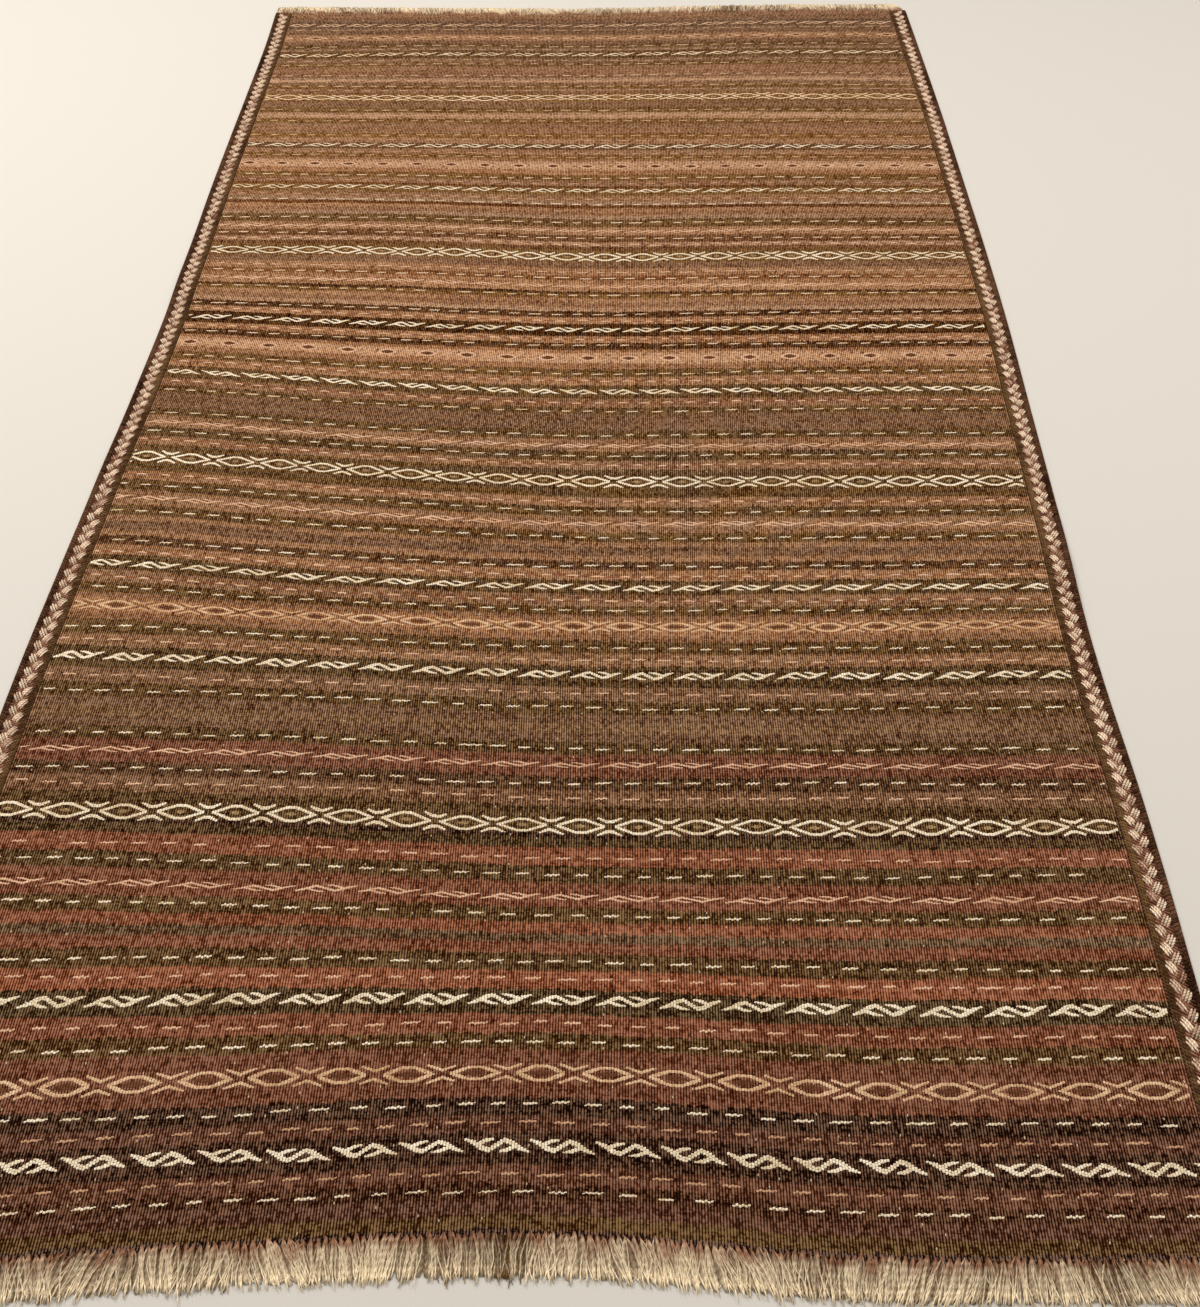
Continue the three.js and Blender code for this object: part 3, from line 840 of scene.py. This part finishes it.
# A stitch's half width over its rib's, and its half length over its own row's
STITCH_HALF_WIDTH = 0.86
STITCH_HALF_LENGTH = 0.48
STITCH_FOOT = -0.2
SHORTEST_STITCH = 1.1
ROW_RELIEF = 0.3
SAMPLE = 0.3
ORNAMENT_REACH = 15
MISSED_DASHES = 0.012
RNG_SEED = 11
STITCHES_TO_A_PIECE = 20000


def smooth_scatter(random, places, spacing, size):
    """A soft random curve over places, with one free value every spacing."""
    knots = np.arange(places.min() - spacing, places.max() + 2 * spacing, spacing)
    values = random.normal(0, 1, len(knots))
    share = (places - knots[0]) / spacing
    i = share.astype(int)
    t = share - i
    t = t * t * (3 - 2 * t)
    return (values[i] * (1 - t) + values[i + 1] * t) * size


def covered(stroke, x, y):
    """Whether each place is within a stroke through points (x, y, width)."""
    inside = np.zeros(np.broadcast(x, y).shape, bool)
    for (x0, y0, w0), (x1, y1, w1) in zip(stroke, stroke[1:]):
        dx, dy = x1 - x0, y1 - y0
        t = np.clip(((x - x0) * dx + (y - y0) * dy) / (dx * dx + dy * dy), 0, 1)
        away = np.hypot(x - x0 - t * dx, y - y0 - t * dy)
        inside |= away < (w0 + (w1 - w0) * t) / 2
    return inside


def work_row(random, along, motif, yarn, height, ribs, made):
    """Works one ornament row across the rug, one stitch on each rib and row that it covers."""
    repeat, strokes = MOTIFS[motif]
    rib = CLOTH_WIDTH / ribs
    columns = (np.arange(ribs) + 0.5) * rib - CLOTH_WIDTH / 2
    is_dash = repeat == DASH_REPEAT
    worked, middle = MEASURED_ROWS.get(along, (repeat, random.uniform(-0.5, 0.5) * repeat))
    stray = smooth_scatter(random, columns, 200, 2 if along in MEASURED_ROWS else 6)
    place = (columns - middle + stray) * repeat / worked
    wander = smooth_scatter(random, columns, 120, 0.8)
    unit = np.floor(place / repeat + 0.5).astype(int)
    local = place - unit * repeat
    unit -= unit.min()
    units = unit.max() + 1
    offset = random.normal(0, 0.8 if is_dash else 0.3, units)[unit]
    grow = random.normal(1, 0.05, units)[unit] * height
    reach = np.arange(-ORNAMENT_REACH, ORNAMENT_REACH + SAMPLE, SAMPLE)
    y = (reach[None] - offset[:, None]) / grow[:, None]
    shown = np.ones(ribs, bool)
    if is_dash:
        local = local * random.normal(1, 0.12, units)[unit]
        shown = random.random(units)[unit] >= MISSED_DASHES
    shown[:1] = shown[-1:] = False
    taken = np.zeros(y.shape, bool)
    colour_run = smooth_scatter(random, columns, 55, 0.16)
    for stroke_yarn, stroke in reversed(strokes):
        inside = np.zeros(y.shape, bool)
        for turn in (-1, 0, 1):
            inside |= covered(stroke, (local + turn * repeat)[:, None], y)
        inside &= ~taken & shown[:, None]
        taken |= inside
        edges = np.diff(np.pad(inside, ((0, 0), (1, 1))).astype(int), axis=1)
        for column, first in zip(*np.nonzero(edges == 1)):
            last = first + np.argmax(edges[column, first:] == -1)
            low, high = reach[first], reach[min(last, len(reach) - 1)]
            rows = max(1, round((high - low) / STITCH_ROW))
            size = max(high - low, SHORTEST_STITCH) / rows
            for k in range(rows):
                centre = along + wander[column] + low + (k + 0.5) * (high - low) / rows
                lean = STITCH_LEANS[(k + column) % 2]
                tone = 0.55 + colour_run[column] + random.normal(0, 0.16)
                made.setdefault(stroke_yarn or yarn, []).append(
                    (columns[column], centre, size, lean, tone))


class RUG_OT_work_soumak(bpy.types.Operator):
    """Works the soumak ornament, stitch by stitch."""
    bl_idname = "rug.work_soumak"
    bl_label = "Work the ornament"

    def execute(self, context):
        sizes = context.scene.rug_sizes
        random = np.random.default_rng(RNG_SEED)
        made = {}
        for along, motif, yarn, height in ornament_rows():
            work_row(random, along, motif, yarn, height, sizes.ribs, made)
        for yarn, stitches in made.items():
            low, high = YARNS[yarn]
            material = spun_wool(f"soumak_{yarn}_wool", linear(low), linear(high), 0, 0.5)
            rows = np.array(stitches)
            rows = rows[np.argsort(rows[:, 1], kind="stable")]
            parts = math.ceil(len(rows) / STITCHES_TO_A_PIECE)
            for number, part in enumerate(np.array_split(rows, parts)):
                piece = self.stitches(f"soumak_{yarn}_{number + 1}", part, sizes, material)
        return {"FINISHED"}

    def stitches(self, name, rows, sizes, material):
        """Plump slanting stitches that stand on the ribs."""
        unit, faces = stitch_template(0.8)
        across, along, size, lean, tone = rows.T[:, :, None]
        thickness = sizes.thickness / MM
        along = along - seen_farther(across, along, thickness + ROW_RELIEF)
        x = unit[None, :, 0] * CLOTH_WIDTH / sizes.ribs / 2 * STITCH_HALF_WIDTH
        y = unit[None, :, 1] * size * STITCH_HALF_LENGTH + lean * x
        is_ridge = unit[:, 2] > 0
        up = thickness + np.where(is_ridge, sizes.stitch_rise / MM, STITCH_FOOT)
        mesh = tiled_mesh(name, lay_on_floor(across + x, along + y, up), faces)
        give_tone(mesh, tone[:, 0], len(unit))
        crease_base(mesh, np.tile(~is_ridge, len(rows)))
        return finished(name, mesh, material)


# The side bindings

# Cross-section from the cloth outwards: how far out and how high, in mm
BINDING_SECTION = (
    (0.2, 0.3), (0.2, 2), (1.5, 2.4), (8, 2.5), (10, 2.3), (14, 2.8), (19, 3), (24, 2.8), (28, 2.2),
    (30, 3), (34, 4), (38, 3), (39.6, 1.8), (38.6, 0.3),
)
BINDING_ROWS = 120
BORDER_SECTION = ((0.6, 1.8), (2.4, 2.7), (5.3, 3), (8.2, 2.7), (10, 1.9))
CORD_SECTION = ((28.6, 2.1), (31, 3.6), (33.8, 4.2), (36.8, 3.4), (39.2, 1.2))
# Distance from one turn to the next and how far a turn slants along the rug
BORDER_TURNS = (4.2, -5)
CORD_TURNS = (4.8, 6.5)
TURN_GIRTH = (0.4, 1.05, 1.1, 1, 0.4)
BRAID_PITCH = 21
BRAID_FILES = (14, 23.5)
BRAID_YARNS = (-1, 0, 1)
BRAID_GIRTH = (0.6, 1.4, 1.6, 1.4, 0.6)
DARK_STITCHES = 0.14


def binding_place(side, out, along, up):
    """A place on a binding, by how far out it is from the cloth, as a point of the laid rug."""
    return lay_on_floor(side * (RUG_WIDTH / 2 - BINDING_WIDTH + out), along, up)


class RUG_OT_bind_sides(bpy.types.Operator):
    """Binds the two long sides: an overcast border, a braided row and an overcast cord."""
    bl_idname = "rug.bind_sides"
    bl_label = "Bind the sides"

    def execute(self, context):
        random = np.random.default_rng(RNG_SEED + 1)
        ground = binding_wool(context.scene.rug_colours.binding)
        braid, border, cord = (
            spun_wool(name, linear(low), linear(high), twist_mm, 0.8)
            for name, low, high, twist_mm in (
                ("braided_cream_and_peach_wool", "#8f5a40", "#ffe6ca", 4.0),
                ("overcast_brown_wool", "#4a301c", "#80603e", 3.0),
                ("overcast_dark_wool", "#382214", "#77523a", 3.0)))
        for name, side in (("left", -1), ("right", 1)):
            named = f"binding_{name}_"
            pieces = [
                self.strip(named + "strip", side, ground),
                self.braid(named + "braid", side, braid, random),
                self.turns(named + "border", side, border, random, BORDER_TURNS, BORDER_SECTION),
                self.turns(named + "cord", side, cord, random, CORD_TURNS, CORD_SECTION),
            ]
            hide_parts(f"binding_{name}")
        return {"FINISHED"}

    def strip(self, name, side, material):
        """The body of the binding: a closed strip with two low ridges."""
        section = np.array(BINDING_SECTION)
        bm = bmesh.new()
        bmesh.ops.create_grid(bm, x_segments=len(section), y_segments=BINDING_ROWS, size=0.5)
        order = [(round((v.co.x + 0.5) * len(section)), v.co.y) for v in bm.verts]
        along = np.array([y for _, y in order]) * WOVEN_LENGTH
        out, up = section[[k % len(section) for k, _ in order]].T
        for vert, co in zip(bm.verts, binding_place(side, out, along, up)):
            vert.co = co
        bm.verts.index_update()
        layer = bm.loops.layers.uv.new("weave")
        for face in bm.faces:
            for loop in face.loops:
                loop[layer].uv = (out[loop.vert.index] * MM, along[loop.vert.index] * MM)
        bmesh.ops.remove_doubles(bm, verts=bm.verts, dist=1e-6)
        bmesh.ops.holes_fill(bm, edges=[e for e in bm.edges if e.is_boundary], sides=0)
        bmesh.ops.recalc_face_normals(bm, faces=bm.faces)
        mesh = bpy.data.meshes.new(name)
        bm.to_mesh(mesh)
        bm.free()
        return finished(name, mesh, material)

    def braid(self, name, side, material, random):
        """Two files of plump slanting stitches, each of three yarns side by side, which meet in a
        chain of Vs that point to the near end on both sides."""
        paths, tones = [], []
        stations = np.linspace(-1, 1, len(BRAID_GIRTH))
        for k in range(int(WOVEN_LENGTH / BRAID_PITCH * 2)):
            is_outer = k % 2
            slant = 1 if is_outer else -1
            middle = NEAR_END + (k + 0.5) * BRAID_PITCH / 2 + random.normal(0, 0.8)
            out = BRAID_FILES[is_outer] + random.normal(0, 0.5)
            tone = random.normal(0.86, 0.12)
            if random.random() < DARK_STITCHES:
                tone = random.uniform(0.2, 0.5)
            for yarn in BRAID_YARNS:
                half = 9.4 - abs(yarn) * 1.4 + random.normal(0, 0.7)
                x = out + stations * half * 0.52 - yarn * 2.9 * slant
                y = middle + stations * half * 0.82 * slant + yarn * 1.8
                up = 4.2 - abs(yarn) * 0.3 - 1.8 * stations ** 2
                paths.append(binding_place(side, x, y, up))
                tones.append(tone + random.normal(0, 0.2))
        radii = np.tile(BRAID_GIRTH, (len(paths), 1)) * MM
        return yarn_paths(name, np.array(paths), radii, 5, material, np.array(tones), 0.8)

    def turns(self, name, side, material, random, pitch_and_slant, section):
        """Turns of yarn laid slanting over a part of the binding."""
        pitch, slant = pitch_and_slant
        out, up = np.array(section).T
        count = int(WOVEN_LENGTH / pitch)
        centre = NEAR_END + (np.arange(count) + 0.5) * pitch
        share = np.linspace(-0.5, 0.5, len(section))
        along = centre[:, None] + share * slant + random.normal(0, 0.3, (count, 1))
        along = np.clip(along, NEAR_END + 1, FAR_END - 1)
        paths = binding_place(side, out[None], along, up[None])
        radii = np.tile(TURN_GIRTH, (count, 1)) * pitch * 0.46 * MM
        tones = 0.45 + smooth_scatter(random, centre, 90, 0.25) + random.normal(0, 0.2, count)
        return yarn_paths(name, paths, radii, 5, material, np.clip(tones, -0.2, 1.2), 0.4)


def binding_wool(dark):
    """Overcast wool under the braided row: brown by the cloth, rust under the braid and dark under
    the cord, with the slant of the overcasting painted in as light on each turn and shade between
    the turns."""
    material, add = new_material("overcast_rust_wool")
    place = add("UVMap", uv_map="weave")[0]
    out, along, _ = add("SeparateXYZ", (place,))
    share = add("Math", (out, BINDING_WIDTH * MM), operation="DIVIDE")[0]
    colour = add("ValToRGB", (share,))[0]
    set_stops(colour.node.color_ramp, (
        (0.0, linear("#4e3320")), (0.2, linear("#5b3b26")), (0.28, linear("#6e4633")),
        (0.6, linear("#744c38")), (0.7, linear("#553426")), (0.8, tuple(dark))))
    lean = add("Math", (out, 0.6), operation="MULTIPLY")[0]
    slant = add("Math", (lean, along), operation="ADD")[0]
    angle = add("Math", (slant, math.tau / (BORDER_TURNS[0] * MM)), operation="MULTIPLY")[0]
    turn = add("Math", (angle,), operation="SINE")[0]
    # Painted light and shade: the top of each turn lighter, the cleft between the turns darker
    shade = summed(add, (turn, 0.6, 0.2), (streaks(add, place, (11.1, 8.33), 3), 2.4, 0.5))
    colour = flecks_and_painted_light(add, colour, shade, linear("#6a4a38"), 0.2)
    add_wool_shader(add, colour, turn, 0.7, 0.4)
    return material


# The fringes

ROOT_LENGTH = 25  # mm of each warp that took madder from the last picks
WARP_GIRTH = (0.3, 0.95, 0.95, 0.9, 0.85, 0.8, 0.3)
LOOSE_GIRTH = (0.1, 0.5, 0.75, 0.75, 0.7, 0.6, 0.3)
STRAY_WARPS = 0.1


class RUG_OT_lay_fringes(bpy.types.Operator):
    """Lays the warp fringe at each end."""
    bl_idname = "rug.lay_fringes"
    bl_label = "Lay the fringes"

    def execute(self, context):
        sizes, colours = context.scene.rug_sizes, context.scene.rug_colours
        material = spun_wool(
            "plied_undyed_warp", linear("#6c5030"), tuple(colours.warp), 7.0, 0.5,
            cleft_shade_tint="#cdb595", speckle=0.1, tint=add_root_tint)
        for name, end, length in (("near", -1, sizes.near_fringe), ("far", 1, sizes.far_fringe)):
            piece = self.strands(f"fringe_{name}_yarns", end, length / MM, sizes, material)
            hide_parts(f"fringe_{name}")
        return {"FINISHED"}

    def strands(self, name, end, length, sizes, material):
        """Bunches of plied yarns that leave the cloth between its last picks. The lower ones are
        drawn in darker tones, painted shade under the upper ones, and the upper ones lighter."""
        random = np.random.default_rng(RNG_SEED + 5 + end)
        bunches = sizes.fringe_bunches
        pitch = FRINGE_WIDTH / bunches
        centre = (np.arange(bunches) + 0.5) * pitch - FRINGE_WIDTH / 2
        sweep = smooth_scatter(random, centre, 60, 0.24)
        gather = smooth_scatter(random, centre, 26, 2.4)
        bunch_tone = smooth_scatter(random, centre, 40, 0.2)
        share = np.linspace(0, 1, len(WARP_GIRTH))
        drawn_in = np.minimum(share * 2, 1)
        cloth_end = WOVEN_LENGTH / 2
        thickness = sizes.thickness / MM
        girth = np.array(WARP_GIRTH) * MM
        loose = np.array(LOOSE_GIRTH) * pitch * MM
        laid = []

        def lay(x, out, up, radii, tone, flatten=0.8):
            x = np.clip(x, -RUG_WIDTH / 2 - 4, RUG_WIDTH / 2 + 4)
            laid.append((lay_on_floor(x, end * out, up), radii, tone, flatten))

        for k in range(bunches):
            tuck = random.uniform(-2, 2)
            # Loose fibres lie under each bunch and hide the floor; their low tone is painted shade
            # under the bunches
            out = cloth_end - 3 + (length * random.uniform(0.86, 0.96) + 3) * share
            x = centre[k] + gather[k] * drawn_in + sweep[k] * length * share ** 1.3
            up = np.interp(share, (0, 0.15, 1), (thickness - 1, 1.6, 0.9))
            lay(x, out, up, loose, random.normal(0.3, 0.1) + 0.5 * bunch_tone[k], 0.18)
            yarns = random.integers(6, 8)
            for level in np.arange(yarns) / yarns:
                reach = length * random.normal(0.97, 0.07)
                curl = random.normal(0, 2.0)
                lean = sweep[k] + random.normal(0, 0.11)
                start = centre[k] + random.uniform(-0.16, 0.16) * pitch
                spread = random.uniform(-0.7, 0.7) * pitch
                x = start + (gather[k] + spread) * drawn_in + (
                    lean * reach * share ** 1.3
                    + curl * np.sin(share * math.pi * random.uniform(0.7, 2.2)))
                out = cloth_end - 4 + tuck + (reach + 4 - tuck) * share
                if random.random() < STRAY_WARPS:
                    out[5:] = out[5] + np.array([0.02, -0.08]) * reach
                    x[5:] += np.array([3, 6]) * random.choice((-1, 1))
                up = np.interp(share, (0, 0.1, 0.2, 0.45, 1), (
                    thickness - 0.6, thickness + 0.6, thickness + 0.1,
                    1.0 + 2.8 * level, random.uniform(0.8, 1.4) + 1.2 * level))
                # Tone rises with the level: painted shade on the lower yarns, painted light on the
                # upper
                lay(x, out, up, girth * random.uniform(0.7, 1.0) * (1.5 - 0.5 * level),
                    random.normal(0.42, 0.2) + 0.75 * level + bunch_tone[k])
            # Short ends of the last picks show dark between the bunches: partly the dark wool of
            # the last picks, partly painted shadow under the cloth's end
            for _ in range(2):
                x = centre[k] + pitch * random.uniform(0.3, 0.7) + share
                out = cloth_end - 2 + random.uniform(5, 9) * share
                lay(x, out, np.linspace(thickness - 1.2, 0.9, len(share)), girth * 1.2, -0.3)
        paths, radii, tones, flatten = (np.array(column) for column in zip(*laid))
        return yarn_paths(name, paths, radii, 4, material, tones, flatten)


def add_root_tint(add, colour):
    """Washing drew madder from the last picks into the warps, so their roots are rosy brown."""
    run = add("SeparateXYZ", (add("UVMap", uv_map="yarn")[0],))[1]
    patches = streaks(add, add("TexCoord")["Object"], (25, 25))
    run = summed(add, (run, 1.0, 0.0), (patches, -36 * MM, 0.5))
    share = add("MapRange", (run, 4 * MM, ROOT_LENGTH * MM, 1.0, 0.0))[0]
    return tinted(add, share, colour, linear("#ac8a80"))


# The stage

CAMERA_PLACE = (0.074, -VIEW_FROM * MM, VIEW_HEIGHT * MM)
CAMERA_TURN = (math.radians(37.5), 0.0, math.radians(1.05))
CAMERA_LENS = 33.05
FLOOR_HALF = 9.0
FLOOR_DROP = 0.0003
SKY = ((1.0, 0.97, 0.93, 1), 0.47)
LAMP_COLOUR = (1.0, 0.95, 0.88)
# Soft lamps: name, place and size in metres, and power
LAMPS = (
    ("key", (-2.4, 1.2, 3.4), 2.6, 158),
    ("fill", (2.8, 0.4, 3.4), 3.0, 86),
)


class RUG_OT_set_stage(bpy.types.Operator):
    """Sets the floor, the lights and the camera."""
    bl_idname = "rug.set_stage"
    bl_label = "Set the stage"

    def execute(self, context):
        scene = context.scene
        self.lay_floor(scene)
        self.hang_lamps(scene)
        camera = bpy.data.cameras.new("camera")
        camera.lens = CAMERA_LENS
        camera.clip_start, camera.clip_end = 0.05, 60
        holder = bpy.data.objects.new("camera", camera)
        holder.location, holder.rotation_euler = CAMERA_PLACE, CAMERA_TURN
        scene.collection.objects.link(holder)
        scene.camera = holder
        scene.view_settings.view_transform = "Standard"
        return {"FINISHED"}

    def lay_floor(self, scene):
        """A plain pale floor, just under the rug so that the two never share a plane."""
        bm = bmesh.new()
        bmesh.ops.create_grid(bm, x_segments=1, y_segments=1, size=FLOOR_HALF)
        bmesh.ops.translate(bm, verts=bm.verts, vec=(0, 0, -FLOOR_DROP))
        mesh = bpy.data.meshes.new("floor")
        bm.to_mesh(mesh)
        bm.free()
        material, add = new_material("matt_floor_paint")
        shader = add("BsdfPrincipled", {
            "Base Color": tuple(scene.rug_colours.floor), "Roughness": 0.9})[0]
        add("OutputMaterial", (shader,))
        mesh.materials.append(material)
        floor = bpy.data.objects.new("floor", mesh)
        scene.collection.objects.link(floor)

    def hang_lamps(self, scene):
        """Warm soft light from the left, less from the right, and a dim even sky."""
        world = bpy.data.worlds.new("studio")
        world.use_nodes = True
        sky = world.node_tree.nodes["Background"].inputs
        sky[0].default_value, sky[1].default_value = SKY
        scene.world = world
        for name, place, size, power in LAMPS:
            light = bpy.data.lights.new(name, "AREA")
            light.size, light.energy, light.color = size, power, LAMP_COLOUR
            lamp = bpy.data.objects.new(name, light)
            lamp.location = place
            lamp.rotation_euler = Vector(place).to_track_quat("Z", "Y").to_euler()
            scene.collection.objects.link(lamp)


class RUG_PT_panel(bpy.types.Panel):
    """Lists the rug's sizes, colours and steps."""
    bl_label = "Soumak rug"
    bl_space_type = "VIEW_3D"
    bl_region_type = "UI"
    bl_category = "Rug"

    def draw(self, context):
        for group in (context.scene.rug_sizes, context.scene.rug_colours):
            for name in group.__annotations__:
                self.layout.prop(group, name)
        for step in STEPS:
            self.layout.operator(step.bl_idname)


STEPS = (
    RUG_OT_weave_cloth, RUG_OT_work_soumak, RUG_OT_bind_sides, RUG_OT_lay_fringes, RUG_OT_set_stage,
)
CLASSES = (RugSizes, RugColours, *STEPS, RUG_PT_panel)


def register():
    """Adds the rug's settings, its steps and its panel to Blender."""
    for cls in CLASSES:
        bpy.utils.register_class(cls)
    bpy.types.Scene.rug_sizes = PointerProperty(type=RugSizes)
    bpy.types.Scene.rug_colours = PointerProperty(type=RugColours)


def unregister():
    """Takes away what register adds."""
    del bpy.types.Scene.rug_colours
    del bpy.types.Scene.rug_sizes
    for cls in reversed(CLASSES):
        bpy.utils.unregister_class(cls)


def main():
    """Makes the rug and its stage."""
    register()
    for step in STEPS:
        group, name = step.bl_idname.split(".")
        getattr(getattr(bpy.ops, group), name)()


if __name__ == "__main__":
    main()
